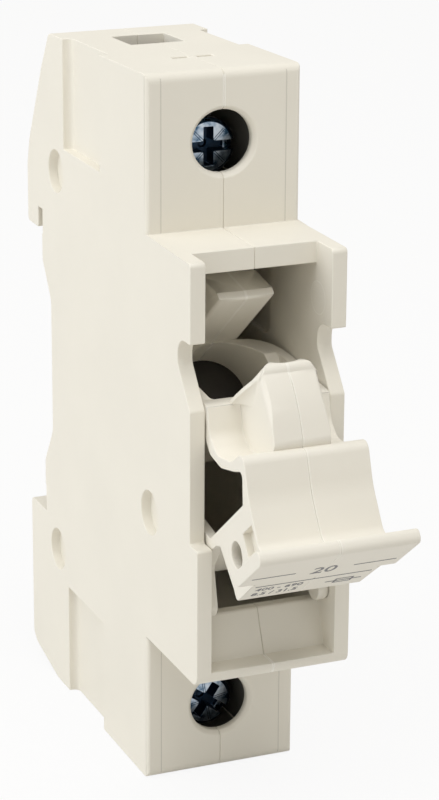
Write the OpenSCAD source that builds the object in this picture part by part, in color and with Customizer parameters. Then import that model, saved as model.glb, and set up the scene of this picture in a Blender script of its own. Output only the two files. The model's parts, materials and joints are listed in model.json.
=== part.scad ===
// Fuse disconnector, one module wide, for cylindrical fuse-links on a 35 mm rail.
// X is the width, -Y is the front, +Z is up. The origin is on the rail's front plane,
// at the rail's middle. The carrier is drawn shut and then swung open about its pivot.

/* [Housing] */
// Width over both halves, one module less its play
body_w = 17.4; // [17:0.1:17.8]
// Height between the two end faces
body_h = 79; // [78:0.5:82]
// Front of the terminal blocks, from the rail's front plane
terminal_depth = 33.2; // [32.6:0.1:34]
// Height of the window block in the middle
block_h = 45.2; // [45:0.1:45.6]
// Front of the window walls, from the rail's front plane
window_depth = 45.3; // [45:0.1:46]
// How far the walls beside the pivot stand proud of those above
chin = 2.1; // [1.6:0.1:2.4]
// Thickness of the walls beside the window
wall = 1.7; // [1.5:0.1:1.8]
// Thickness of the plate above the window
brow = 2.35; // [2:0.05:2.5]
// How far that plate's front edge is set back from the walls
brow_set = 3.8; // [3.4:0.1:4.2]
// Thickness of the floor below the window
floor_t = 1.45; // [1.2:0.05:1.6]
// Depth of the finger notch in the window walls
notch_in = 3.4; // [3:0.1:3.8]
// Height of the finger notch
notch_h = 7.1; // [6.5:0.1:7.4]
// Diameter of the three round recesses in each side
recess_d = 4.9; // [4:0.1:5.2]
// Depth of the recesses in the sides
recess_in = 1.1; // [0.8:0.05:1.2]

/* [Rail seat] */
// Height of the rail that the notch takes
rail_h = 35; // [35:0.1:35.2]
// Depth of the groove for the rail's upper edge
groove = 1.3; // [1.2:0.05:1.4]
// Relief of the rail seats where the rail's rims may be burred
burr_room = 0.2; // [0.1:0.05:0.3]
// How far the hook reaches down behind that edge
hook_reach = 2.3; // [1.8:0.1:2.4]
// How far the back of the housing stands behind the rail's front plane
back = 5.2; // [5:0.1:5.6]
// How far the middle of the notch is relieved
relief = 2.8; // [2.4:0.1:3]

/* [Terminals] */
// From the end face to the middle of the screw
screw_edge = 7.7; // [7.5:0.1:7.9]
// Diameter of the hole that the screwdriver enters
access_d = 6.75; // [6.5:0.05:7]
// Diameter of the screw's head
head_d = 6.1; // [5.6:0.1:6.3]
// Diameter of the screw's thread
thread_d = 4.8; // [4:0.1:5]
// Thickness of the wall round the screwdriver's hole
guard_t = 1.3; // [1.2:0.05:1.6]
// How far the loose screw and clamp hang below the middle of their hole
sag = 1.35; // [0:0.05:1.4]
// Side of the square wire entry
entry = 6.3; // [5.8:0.1:6.4]
// How far the clamp travels
clamp_travel = 6; // [5:0.1:6]
// Thickness of the clamp's side walls
clamp_t = 1.1; // [0.9:0.05:1.2]
// Thickness of the busbars
bar_t = 1.3; // [1:0.1:1.4]
// Width of the busbars
bar_w = 5.8; // [5:0.1:6]

/* [Carrier] */
// Angle at which the open carrier stops
open_angle = 52; // [40:1:53]
// Width over the carrier's ears
ear_w = 17.4; // [16.8:0.1:17.6]
// Play between the carrier and each window wall
side_play = 0.15; // [0.1:0.01:0.25]
// Thickness of the label plate
label_t = 1.55; // [1.2:0.05:1.8]
// Height of the label plate
label_h = 13; // [12.5:0.1:13.2]
// Thickness of the carrier's walls
skin = 1.1; // [0.9:0.05:1.2]
// Width of the hump
hump_w = 6.3; // [5.8:0.1:6.6]
// Width of the spine behind the fuse
spine_w = 6.2; // [5.6:0.1:6.6]
// Diameter of the pivots on the carrier's arms
pivot_d = 2.5; // [2:0.1:2.8]
// Running clearance round each pivot
pivot_fit = 0.05; // [0.03:0.01:0.1]
// Diameter of the fuse-link that the carrier takes
fuse_d = 8.5; // [8:0.1:8.5]
// Length of that fuse-link
fuse_len = 31.5; // [31:0.1:31.8]

/* [Contacts] */
// Thickness of the jaws' leaves
leaf_t = 0.8; // [0.6:0.05:0.9]
// Thickness of the blade on the carrier
blade_t = 1; // [0.8:0.05:1.2]
// Play between the blade and each leaf
blade_play = 0.15; // [0.1:0.01:0.2]
// Thickness of the spring clip round the upper jaw
clip_t = 0.4; // [0.3:0.05:0.5]
// Diameter of the rivets
rivet_d = 2.4; // [2:0.1:2.6]

/* [Latch] */
// How far the latch slides down to free the rail
latch_travel = 3; // [2:0.1:3]
// Width of the latch
latch_w = 6.8; // [6:0.1:7]
// Play round the latch
latch_play = 0.15; // [0.1:0.01:0.2]
// Wire of the latch's spring
wire_d = 0.5; // [0.4:0.05:0.6]
// Turns of the latch's spring
spring_turns = 5; // [4:1:6]

/* [Hidden] */
$fn = 48;

half_w = body_w / 2;
half_h = body_h / 2;
block_top = block_h / 2;
inner_w = half_w - wall;
far = 60;
seat = 0.02;

front = -window_depth;
chin_front = front - chin;
terminal_front = -terminal_depth;
pivot_y = front + 0.8;
pivot_z = -14.5;
chin_top = -7.4;
notch_low = 7;
notch_top = notch_low + notch_h;
ceiling = block_top - brow;
window_floor = -block_top + floor_t;

carrier_w = inner_w - side_play;
plate_back = front - 0.27;
plate_front = plate_back - label_t;
plate_low = -5.2;
plate_top = plate_low + label_h;
ear_low = 0.2;
apron_low = pivot_z - 3.5;
hump_back = pivot_y + 18.6;
fuse_y = hump_back + fuse_d / 2;
bore_r = fuse_d / 2 + 0.15;
slot_r = bore_r + 0.25;
spine_front = fuse_y + slot_r;
spine_back = spine_front + 4.6;
well_front = hump_back - 1.9;
fuse_low = -fuse_len / 2;
well_bed = fuse_low - 1.15;
well_low = well_bed - 2.4;
well_hollow = -8;

jaw_front = fuse_y + fuse_d / 2;
bar_front = jaw_front + leaf_t + clip_t;
bar_back = bar_front + bar_t;
blade_end = spine_back + 2.7;
sweep_r = blade_end - pivot_y + 0.9;

screw_z = half_h - screw_edge;
clamp_in = entry / 2 + 0.05;
clamp_w = clamp_in + clamp_t;
clamp_h = 7.6;
clamp_back = bar_back + entry + 2.2;
clamp_wall = 2.4;
clamp_front = bar_front - clamp_wall - 0.8;
head_back = clamp_front - clamp_travel - 0.5;
head_t = 3.1;
chamber_h = clamp_h / 2 + sag + 0.3;
slot_w = 1.1;
cross_r = 2.1;
rail_edge = rail_h / 2;
shelf = 9;
room_front = fuse_y - 8;
room_in = 0.7;
pocket_front = terminal_front + 8.2;
joining_reach = 6;
carrier_reach = 2.6;

// Unit vector along v
function unit(v) = v / norm(v);

// Arc that rounds corner b of an outline whose neighbours are a and c
function arc_at(a, b, c, r, steps) =
    let (u = unit(a - b), w = unit(c - b))
    let (open = acos(max(-1, min(1, u * w))))
    let (centre = b + unit(u + w) * r / sin(open / 2), reach = r / tan(open / 2))
    let (from = b + u * reach - centre, to = b + w * reach - centre)
    let (start = atan2(from[1], from[0]), end = atan2(to[1], to[0]))
    let (turn = (end - start + 360 + 180) % 360 - 180)
    [for (i = [0:steps]) centre + r * [cos(start + turn * i / steps), sin(start + turn * i / steps)]];

// Outline through corners [a, b, r], where r is the radius of that corner
function outline(corners, steps = 5) =
    let (n = len(corners), p = [for (c = corners) [c[0], c[1]]])
    [for (i = [0:n - 1]) each corners[i][2] == 0 ? [p[i]] :
        arc_at(p[(i + n - 1) % n], p[i], p[(i + 1) % n], corners[i][2], steps)];

// Side outline [y, z, r] drawn from x0 to x1
module side(x0, x1, corners) {
    translate([x0, 0, 0])
        rotate([90, 0, 90])
        linear_extrude(x1 - x0)
        polygon(outline(corners));
}

// Plan outline [x, y, r] drawn from z0 to z1
module plan(z0, z1, corners) {
    translate([0, 0, z0])
        linear_extrude(z1 - z0)
        polygon(outline(corners));
}

// Block between two corners
module block(low, high) {
    translate(low)
        cube(high - low);
}

// Round bar along Y from y0 to y1
module bar_y(y0, y1, r0, r1) {
    translate([0, y0, 0])
        rotate([-90, 0, 0])
        cylinder(h = y1 - y0, r1 = r0, r2 = r1);
}

// Round bar along X at [y, z]
module bar_x(x0, x1, at, r) {
    translate([x0, at[0], at[1]])
        rotate([0, 90, 0])
        cylinder(h = x1 - x0, r = r);
}

// Both ends of the housing
module both_ends() {
    children();
    mirror([0, 0, 1])
        children();
}

// The carrier's place at rest, swung open
module swung() {
    translate([0, pivot_y, pivot_z])
        rotate([open_angle, 0, 0])
        translate([0, -pivot_y, -pivot_z])
        children();
}

side_recesses = [[-5, 23.2], [front + 11.4, -7.8], [-4.2, -22.7]];
pin_places = [
    [-5, 23.2], [-4.2, -22.7],
    [terminal_front + 3.7, block_top + 1.7], [terminal_front + 3.7, -block_top - 1.7]
];
joining_r = 1.2;

housing_outline = [
    [terminal_front, half_h, 1],
    [-3.1, half_h - 0.9, 1],
    [-0.5, half_h - 5.1, 3],
    [back - 1.1, 25.1, 3],
    [back - 0.3, 22, 2],
    [back - 0.3, rail_edge - hook_reach, 0.6],
    [groove, rail_edge - hook_reach, 0.3],
    [groove, rail_edge + 0.15, 0],
    [-burr_room, rail_edge + 0.15, 0],
    [-burr_room, rail_edge - hook_reach - 0.4, 0],
    [0, rail_edge - hook_reach - 0.4, 0],
    [0, 11.6, 0.8],
    [-relief, 7.4, 2.5],
    [-relief, -8.4, 2.5],
    [0, -12.8, 0.8],
    [0, -rail_edge + 1.5, 0],
    [-burr_room, -rail_edge + 1.5, 0],
    [-burr_room, -rail_edge - 1.8, 0],
    [back, -rail_edge - 1.8, 0.6],
    [back, -half_h + 2.7, 0.8],
    [back - 1.1, -half_h + 1.7, 1],
    [-3.5, -half_h, 4],
    [terminal_front, -half_h, 1],
    [terminal_front, -block_top, 0],
    [chin_front, -block_top, 1.2],
    [chin_front, chin_top, 0.3],
    [front, chin_top, 0.3],
    [front, notch_low, 0.6],
    [front + notch_in, notch_low + 4.3, 1.2],
    [front + notch_in, notch_top, 1.8],
    [front, notch_top, 0.2],
    [front, block_top, 0.5],
    [terminal_front, block_top, 0]
];

// Space that the carrier swings in, seen from the side
module swing_space() {
    side(-inner_w, inner_w, [
        [-far, ceiling, 0],
        [bar_back, ceiling, 0],
        [bar_back, shelf, 0],
        [pivot_y + 10, shelf, 0],
        [pivot_y + 10, window_floor, 0],
        [-far, window_floor, 0]
    ]);
    intersection() {
        bar_x(-inner_w, inner_w, [pivot_y, pivot_z], sweep_r);
        block([-half_w, pivot_y, window_floor], [half_w, 0, ceiling]);
    }
}

// Deeper part of that space, where the inner walls step back beside the upper jaw
module jaw_room() {
    side(0, inner_w + room_in, [
        [room_front, ceiling, 0],
        [bar_back, ceiling, 0],
        [bar_back, shelf, 0],
        [room_front, shelf, 1.5]
    ]);
}

// Slanted wall that closes the window below the pivot
module slanted_wall(x1) {
    side(0, x1, [
        [pivot_y - 0.6, window_floor - 0.5, 0],
        [pivot_y + 1.5, pivot_z - 2, 0.4],
        [pivot_y + 3, pivot_z - 2, 0.4],
        [pivot_y + 3, window_floor - 0.5, 0]
    ]);
}

// Round blind recess in the right side
module side_recess(at) {
    bar_x(half_w - recess_in, far, at, recess_d / 2);
}

// Step that runs beside a terminal to its end face
module end_step() {
    plan(half_h - 13.2, half_h + 1, [
        [half_w - recess_in, terminal_front + 13.9, 0],
        [half_w + 1, terminal_front + 13.9, 0],
        [half_w + 1, -7.7, 0],
        [half_w - recess_in, -7.7, 0.8]
    ]);
}

// Clamp's chamber, screw hole and wire entry of one terminal
module terminal_space() {
    block([-clamp_w - 0.2, terminal_front + guard_t, screw_z - chamber_h],
          [clamp_w + 0.2, clamp_back + 0.4, screw_z + chamber_h]);
    translate([0, 0, screw_z]) {
        bar_y(terminal_front - 1, terminal_front + guard_t + 1, access_d / 2, access_d / 2);
        bar_y(terminal_front - 0.01, terminal_front + 0.5, access_d / 2 + 0.45, access_d / 2);
    }
    block([-entry / 2, bar_back + 0.3, screw_z], [entry / 2, bar_back + 0.3 + entry, half_h + 1]);
    for (x = [-1.4, 1.4])
        block([x - 0.95, pocket_front, half_h - 1.4], [x + 0.95, pocket_front + 0.9, half_h + 1]);
}

// Slot that holds a busbar between its terminal and the window
module bar_slot() {
    block([-bar_w / 2 - seat, bar_front, ceiling - 2], [bar_w / 2 + seat, bar_back, screw_z]);
}

latch_shoulder = -rail_edge - 12;
latch_end = -half_h + 4.6;
post_top = latch_end - 1.2;
slot_top = post_top + 9.6;

// Track of the rail latch, open to the back and to the bottom, with the spring's post in it
module latch_track() {
    difference() {
        latch_channel();
        block([-1.7, 0, -half_h - 1], [1.7, back - 1.2, post_top]);
    }
}

// Channel for the latch, with a wider track that stops its shoulders after the travel
module latch_channel() {
    block([-latch_w / 2 - latch_play, 0.9, -far], [latch_w / 2 + latch_play, far, -rail_edge]);
    block([-latch_w / 2 - 1.2 - latch_play, 0.9, latch_shoulder - latch_travel - latch_play],
          [latch_w / 2 + 1.2 + latch_play, 2.3 + latch_play, -rail_edge - 3]);
}

// Rounding of an upright edge of the right side at depth y
module edge_round(y, z0, z1, r) {
    difference() {
        block([half_w - r, y - 1, z0], [half_w + 1, y + r, z1]);
        translate([half_w - r, y + r, z0 - 1])
            cylinder(h = z1 - z0 + 2, r = r);
    }
}

// Right half; the left one is its mirror image
module housing_half() {
    difference() {
        side(0, half_w, housing_outline);
        difference() {
            swing_space();
            slanted_wall(inner_w);
        }
        jaw_room();
        block([-inner_w, -far, ceiling - 1], [inner_w, front + brow_set, block_top + 1]);
        bar_x(0, inner_w + 1, [pivot_y, pivot_z], pivot_d / 2 + pivot_fit);
        for (at = side_recesses)
            side_recess(at);
        both_ends() {
            end_step();
            terminal_space();
            bar_slot();
            edge_round(terminal_front, block_top, far, 0.5);
        }
        latch_track();
        for (at = pin_places)
            bar_x(-1, joining_reach, at, joining_r + seat);
    }
}

module housing_left() {
    color([0.93, 0.92, 0.88])
        mirror([1, 0, 0])
        housing_half();
}

module housing_right() {
    color([0.93, 0.92, 0.88])
        housing_half();
}

module joining_pins() {
    color([0.85, 0.84, 0.8])
        for (at = pin_places)
            bar_x(0.1 - joining_reach, joining_reach - 0.1, at, joining_r);
}

// Label plate with its rounded edges, from x0 to x1
module label_plate(x0, x1, low) {
    side(x0, x1, [
        [plate_front, low, 0.5],
        [plate_back, low, 0.5],
        [plate_back, plate_top, 0.6],
        [plate_front, plate_top, 0.7]
    ]);
}

// Finger rest, valley and rim in one bent wall
module finger_wall() {
    side(0, carrier_w, [
        [plate_back - 0.5, 2.3, 0],
        [plate_back - 0.5, 6, 0],
        [plate_back, 6, 0],
        [plate_back + 0.5, 3.7, 1.5],
        [plate_back + 6, 4.2, 8],
        [pivot_y + 9.6, 5.9, 1.1],
        [pivot_y + 9.8, 2.2, 2],
        [pivot_y + 11.8, -1.1, 2],
        [pivot_y + 14, -1.5, 2],
        [well_front, -0.3, 0.4],
        [well_front + skin, -0.3, 0.3],
        [well_front + skin, -3, 0],
        [pivot_y + 12.4, -2.7, 1.5],
        [pivot_y + 10.2, -0.7, 2],
        [pivot_y + 8.7, 2.4, 2],
        [pivot_y + 8, 4.4, 0.6],
        [pivot_y + 5.1, 2.4, 1]
    ]);
}

// Hump over the fuse's front side, with rounded shoulders and a wider hood at its back
module hump() {
    intersection() {
        side(0, hump_w / 2, [
            [pivot_y + 9.2, 4.2, 0],
            [pivot_y + 9.9, 5.4, 1],
            [pivot_y + 13.8, 6.5, 12],
            [hump_back, 6.2, 2],
            [hump_back, -4, 0],
            [pivot_y + 9.7, -1.5, 1.5]
        ]);
        shoulders(hump_w / 2, hump_w / 2, 0.9);
    }
    intersection() {
        side(0, carrier_w, [
            [well_front, -1, 0],
            [well_front, 5.9, 0.6],
            [hump_back - 0.9, 6.6, 0.8],
            [hump_back, 6, 0.4],
            [hump_back, -1, 0]
        ]);
        shoulders(hump_w / 2 + 1.2, hump_w / 2 + 0.5, 1.9);
    }
}

// Outline across the carrier, low_w wide at the well's rim and top_w wide below its rounded top
module shoulders(low_w, top_w, r) {
    rotate([90, 0, 0])
        translate([0, 0, -pivot_y - 20])
        linear_extrude(14)
        polygon(outline([
            [-1, -5, 0],
            [low_w, -5, 0],
            [low_w, -0.5, 0],
            [top_w, 6.4, r],
            [-1, 6.75, 0]
        ]));
}

// Side plate behind the label, with the wall at its back and the leg to the pivot
module cheek() {
    side(carrier_w - skin, carrier_w, [
        [plate_front + 0.6, plate_low + 0.2, 0.3],
        [plate_back + 0.2, 3.4, 0],
        [pivot_y + 5.1, 3.4, 0],
        [pivot_y + 5.1, plate_low - 2, 0],
        [pivot_y + 4, plate_low - 2, 0.3],
        [pivot_y + 3.5, plate_low - 0.8, 0.4]
    ]);
    side(0, carrier_w, [
        [pivot_y + 4, 3, 0],
        [pivot_y + 5.1, 3, 0],
        [pivot_y + 5.1, apron_low + 1, 0],
        [pivot_y + 4, apron_low, 0.3]
    ]);
}

// Leg between the pivot and the well
module leg() {
    side(carrier_w - skin, carrier_w, [
        [pivot_y - 1.4, pivot_z + 1, 1.2],
        [pivot_y - 1.4, pivot_z - 1.4, 1.3],
        [pivot_y + 3, pivot_z - 1.4, 1],
        [well_front - 3, well_low + 1.5, 2],
        [well_front + 1, well_low, 0],
        [well_front + 1, plate_low - 5, 0],
        [pivot_y + 9, plate_low - 6.5, 2],
        [pivot_y + 5.1, plate_low - 3, 0.6],
        [pivot_y + 4, plate_low - 3, 0.3],
        [pivot_y + 3, pivot_z + 3, 1.5]
    ]);
    bar_x(carrier_w - skin, inner_w + 0.9, [pivot_y, pivot_z], pivot_d / 2);
}

// Fuse well: a tube cut off at 45 degrees, with a round bed for the fuse
module well() {
    difference() {
        intersection() {
            plan(well_low, 1, [
                [0, well_front, 0],
                [carrier_w, well_front, 0.5],
                [carrier_w, spine_front, 3.8],
                [0, spine_front, 0]
            ]);
            side(-1, carrier_w + 1, [
                [well_front - 1, well_low - 1, 0],
                [well_front - 1, 0.7, 0],
                [spine_front + 1, well_front - spine_front - 1.3, 0],
                [spine_front + 1, well_low - 1, 0]
            ]);
        }
        plan(well_hollow, 2, [
            [-1, well_front + skin, 0],
            [carrier_w - skin, well_front + skin, 0.5],
            [carrier_w - skin, spine_front - skin, 2.8],
            [-1, spine_front - skin, 0]
        ]);
        translate([0, fuse_y, well_bed])
            cylinder(h = far, r = bore_r);
    }
}

// Spine behind the fuse, with its slanted head
module spine() {
    intersection() {
        side(0, spine_w / 2, [
            [spine_front, well_low, 0],
            [spine_front, 0.9, 0.3],
            [spine_front + 1, 0.7, 0.3],
            [spine_back, -2.6, 0.8],
            [spine_back, well_low, 1]
        ]);
        plan(well_low, 2, [
            [-1, spine_front, 0],
            [spine_w / 2, spine_front, 0.45],
            [spine_w / 2, spine_back, 0.6],
            [-1, spine_back, 0]
        ]);
    }
}

// Outline of the blade that leaves the carrier at the back
blade_outline = [
    [fuse_y + 1.6, well_bed - 1.6, 0.3],
    [blade_end, well_bed - 1.6, 0.6],
    [blade_end, well_bed + 2.8, 0.6],
    [spine_front + 0.6, well_bed + 2.8, 0],
    [spine_front + 0.6, well_bed + 0.4, 0],
    [fuse_y + 1.6, well_bed + 0.4, 0]
];
carrier_pin_places = [[fuse_y - 3.2, well_bed - 1.25], [spine_back - 2.2, -6.4], [pivot_y + 12.6, 2.4]];
carrier_pin_r = 0.8;
cheek_hole = [pivot_y + 1.4, -2.2];
disc_r = bore_r + 0.5;

// Right half, drawn shut
module carrier_half() {
    difference() {
        union() {
            label_plate(0, carrier_w, plate_low);
            label_plate(0, ear_w / 2, ear_low);
            finger_wall();
            cheek();
            leg();
            difference() {
                union() {
                    hump();
                    well();
                }
                translate([0, fuse_y, well_hollow])
                    cylinder(h = far, r = slot_r);
            }
            spine();
        }
        side(-1, blade_t / 2 + seat, blade_outline);
        translate([0, fuse_y, well_bed - seat])
            cylinder(h = leaf_t + 2 * seat, r = disc_r + seat);
        bar_x(carrier_w - skin - 1, far, cheek_hole, 1.4);
        block([carrier_w - 0.9, plate_back + 1.3, 0.6], [far, plate_back + 3.8, 3.4]);
        for (at = carrier_pin_places)
            bar_x(-1, carrier_reach, at, carrier_pin_r + seat);
    }
}

module carrier_left() {
    color([0.92, 0.9, 0.85])
        swung()
        mirror([1, 0, 0])
        carrier_half();
}

module carrier_right() {
    color([0.92, 0.9, 0.85])
        swung()
        carrier_half();
}

module carrier_pins() {
    color("gainsboro")
        swung()
        for (at = carrier_pin_places)
            bar_x(0.1 - carrier_reach, carrier_reach - 0.1, at, carrier_pin_r);
}

module carrier_contact() {
    color([0.8, 0.63, 0.35])
        swung() {
            translate([0, fuse_y, well_bed])
                cylinder(h = leaf_t, r = disc_r);
            side(-blade_t / 2, blade_t / 2, blade_outline);
        }
}

jaw_low = shelf + 0.6;
jaw_top = fuse_len / 2 + 0.3;
jaw_mid = (jaw_low + jaw_top) / 2;
leaf_in = fuse_d / 2 + 0.1;
clip_in = leaf_in + leaf_t + 0.02;
clip_front = fuse_y - 1.6;
jaw_back = bar_front - clip_t;

module upper_busbar() {
    color([0.78, 0.6, 0.38])
        difference() {
            block([-bar_w / 2, bar_front, jaw_low - 0.4], [bar_w / 2, bar_back, screw_z + clamp_h / 2 - 0.6]);
            translate([0, 0, jaw_mid])
                bar_y(bar_front - 1, bar_back + 1, rivet_d / 2 + seat, rivet_d / 2 + seat);
        }
}

// Right half of the upper jaw's outline, from its back round the sprung lip to the cap's side
jaw_half = [
    [leaf_in + leaf_t, jaw_back, 0.7],
    [leaf_in + leaf_t, fuse_y - 1.8, 1],
    [leaf_in + leaf_t - 0.3, fuse_y - 3.4, 0.8],
    [leaf_in + leaf_t + 0.6, fuse_y - 4.9, 0],
    [leaf_in + 0.6, fuse_y - 4.9, 0],
    [leaf_in - 0.3, fuse_y - 3.4, 0.8],
    [leaf_in, fuse_y - 1.8, 1],
    [leaf_in, jaw_front + 0.05, 0.3]
];

// Upper jaw: a base with a spring leaf on each side of the fuse cap
module upper_jaw() {
    color([0.8, 0.63, 0.35])
        difference() {
            plan(jaw_low, jaw_top, [
                for (c = jaw_half) c,
                for (i = [len(jaw_half) - 1:-1:0]) [-jaw_half[i][0], jaw_half[i][1], jaw_half[i][2]]
            ]);
            translate([0, 0, jaw_mid])
                bar_y(jaw_front - 1, bar_front + 1, rivet_d / 2 + seat, rivet_d / 2 + seat);
        }
}

// Spring clip that wraps the upper jaw and is held between it and the busbar
module upper_jaw_spring() {
    color("silver")
        difference() {
            plan(jaw_low + 1, jaw_top - 1, [
                [-clip_in - clip_t, clip_front, 0.2],
                [-clip_in, clip_front, 0],
                [-clip_in, bar_front - clip_t, 0],
                [clip_in, bar_front - clip_t, 0],
                [clip_in, clip_front, 0],
                [clip_in + clip_t, clip_front, 0.2],
                [clip_in + clip_t, bar_front, 0.8],
                [-clip_in - clip_t, bar_front, 0.8]
            ]);
            translate([0, 0, jaw_mid])
                bar_y(bar_front - 1, bar_front + 1, rivet_d / 2 + seat, rivet_d / 2 + seat);
        }
}

module upper_jaw_rivet() {
    color([0.8, 0.63, 0.35])
        translate([0, 0, jaw_mid])
        bar_y(jaw_front + 0.05, bar_back, rivet_d / 2, rivet_d / 2);
}

strip_top = window_floor + bar_t - 0.2;
lower_jaw_w = blade_t / 2 + blade_play;
lower_jaw_back = pivot_y + sweep_r - 0.6;

module lower_busbar() {
    color([0.78, 0.6, 0.38])
        difference() {
            union() {
                block([-bar_w / 2, bar_front, -screw_z - clamp_h / 2 + 0.6], [bar_w / 2, bar_back, strip_top]);
                block([-bar_w / 2, bar_front, window_floor], [bar_w / 2, lower_jaw_back, strip_top]);
            }
            translate([0, lower_jaw_back - 1.5, window_floor - 1])
                cylinder(h = 4, r = 0.6 + seat);
        }
}

// Lower jaw: two upright leaves that take the carrier's blade between them
module lower_jaw() {
    color([0.8, 0.63, 0.35])
        difference() {
            block([-lower_jaw_w - leaf_t, spine_back + 0.4, strip_top],
                  [lower_jaw_w + leaf_t, lower_jaw_back, well_bed + 2.2]);
            block([-lower_jaw_w, spine_back, strip_top + leaf_t],
                  [lower_jaw_w, 0, far]);
            translate([0, lower_jaw_back - 1.5, strip_top - 1])
                cylinder(h = 4, r = 0.6 + seat);
        }
}

module lower_jaw_rivet() {
    color([0.8, 0.63, 0.35])
        translate([0, lower_jaw_back - 1.5, window_floor])
        cylinder(h = strip_top - window_floor + leaf_t, r = 0.6);
}

// Terminal screw on the Y axis, with a slot and a cross in its head
module terminal_screw(turn) {
    head_front = head_back - head_t;
    difference() {
        union() {
            bar_y(head_front, head_front + 0.35, head_d / 2 - 0.35, head_d / 2);
            bar_y(head_front + 0.35, head_back, head_d / 2, head_d / 2);
            bar_y(head_back, bar_front - 0.8, thread_d / 2, thread_d / 2);
            bar_y(bar_front - 0.8, bar_front - 0.05, thread_d / 2, thread_d / 2 - 0.7);
        }
        rotate([0, turn, 0]) {
            block([-head_d, head_front - 1, -slot_w / 2], [head_d, head_front + 1.2, slot_w / 2]);
            block([-slot_w / 2, head_front - 1, -cross_r], [slot_w / 2, head_front + 1.8, cross_r]);
            block([-cross_r, head_front - 1, -slot_w / 2], [cross_r, head_front + 1.8, slot_w / 2]);
            bar_y(head_front - 0.01, head_front + 2.2, 0.9, 0.4);
        }
    }
}

// Box clamp round the Y axis: its front wall is threaded and its back wall lifts the wire
module box_clamp() {
    difference() {
        block([-clamp_w, clamp_front, -clamp_h / 2], [clamp_w, clamp_back, clamp_h / 2]);
        block([-clamp_in, clamp_front + clamp_wall, -clamp_h], [clamp_in, clamp_back - 1.3, clamp_h]);
        bar_y(clamp_front - 1, clamp_front + clamp_wall + 1, thread_d / 2 + 0.05, thread_d / 2 + 0.05);
    }
}

// Place of the upper or lower terminal's loose metal, which hangs by its play
module hung(z) {
    translate([0, 0, z - sag])
        children();
}

module upper_screw() {
    color([0.3, 0.36, 0.45])
        hung(screw_z)
        terminal_screw(0);
}

module lower_screw() {
    color([0.3, 0.36, 0.45])
        hung(-screw_z)
        terminal_screw(35);
}

module upper_clamp() {
    color([0.75, 0.76, 0.78])
        hung(screw_z)
        box_clamp();
}

module lower_clamp() {
    color([0.75, 0.76, 0.78])
        hung(-screw_z)
        box_clamp();
}

latch_slot = 1.9;
spring_r = 1.5;
spring_y = (groove - 0.1 + back - 0.4) / 2;
coil_steps = 14;
coil_sides = 8;
coil_rings = spring_turns * coil_steps;
spring_low = post_top + wire_d / 2 + 0.02;
spring_rise = slot_top - post_top - wire_d - 0.04;

module rail_latch() {
    color([0.9, 0.89, 0.85])
        difference() {
            union() {
                side(-latch_w / 2, latch_w / 2, [
                    [groove - 0.1, -rail_edge + 1.1, 0.3],
                    [back - 0.4, -rail_edge - 0.4, 0.5],
                    [back - 0.4, latch_end, 0.5],
                    [groove - 0.1, latch_end, 0.3]
                ]);
                block([-latch_w / 2 - 1.2, groove - 0.1, latch_shoulder], [latch_w / 2 + 1.2, 2.3, -rail_edge - 4]);
            }
            block([-latch_slot, 0, -far], [latch_slot, far, slot_top]);
        }
}

// One point of the coil: ring i of the helix, corner j of its wire
function coil_point(i, j) =
    let (a = 360 * i / coil_steps, b = 360 * j / coil_sides)
    let (r = spring_r + wire_d / 2 * cos(b))
    [r * cos(a), spring_y + r * sin(a), spring_low + spring_rise * i / coil_rings + wire_d / 2 * sin(b)];

module latch_spring() {
    color("silver")
        polyhedron(
            points = [for (i = [0:coil_rings], j = [0:coil_sides - 1]) coil_point(i, j)],
            faces = concat(
                [[for (j = [0:coil_sides - 1]) j]],
                [[for (j = [coil_sides - 1:-1:0]) coil_rings * coil_sides + j]],
                [for (i = [0:coil_rings - 1], j = [0:coil_sides - 1])
                    let (k = (j + 1) % coil_sides, m = i * coil_sides)
                    [m + j, m + coil_sides + j, m + coil_sides + k, m + k]]
            )
        );
}

housing_left();
housing_right();
joining_pins();
carrier_left();
carrier_right();
carrier_pins();
carrier_contact();
upper_busbar();
upper_jaw();
upper_jaw_spring();
upper_jaw_rivet();
lower_busbar();
lower_jaw();
lower_jaw_rivet();
upper_screw();
upper_clamp();
lower_screw();
lower_clamp();
rail_latch();
latch_spring();
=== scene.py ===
"""Looks of a one-module fuse disconnector: its finishes, edges, label print and studio stage."""

import json
import math

import bmesh
import bpy
from mathutils import Matrix, Vector


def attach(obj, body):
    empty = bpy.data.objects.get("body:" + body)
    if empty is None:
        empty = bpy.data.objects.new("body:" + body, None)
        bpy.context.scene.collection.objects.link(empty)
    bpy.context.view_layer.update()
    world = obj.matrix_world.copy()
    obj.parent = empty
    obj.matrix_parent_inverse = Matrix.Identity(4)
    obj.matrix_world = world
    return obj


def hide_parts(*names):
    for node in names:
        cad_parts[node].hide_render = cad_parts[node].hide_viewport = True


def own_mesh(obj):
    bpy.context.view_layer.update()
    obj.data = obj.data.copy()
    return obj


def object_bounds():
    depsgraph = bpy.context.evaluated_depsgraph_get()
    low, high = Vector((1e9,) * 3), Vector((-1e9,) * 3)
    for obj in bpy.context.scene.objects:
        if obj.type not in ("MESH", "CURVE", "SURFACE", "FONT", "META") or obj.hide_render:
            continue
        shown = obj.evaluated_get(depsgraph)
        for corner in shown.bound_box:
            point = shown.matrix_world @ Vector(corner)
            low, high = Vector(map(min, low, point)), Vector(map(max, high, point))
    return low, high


bl_info = {
    "name": "Fuse Disconnector Looks",
    "version": (1, 0, 0),
    "blender": (4, 5, 0),
    "location": "View3D > Sidebar > Disconnector",
    "description": "Finishes a modular fuse disconnector and sets up its studio stage",
    "category": "Object",
}

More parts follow.
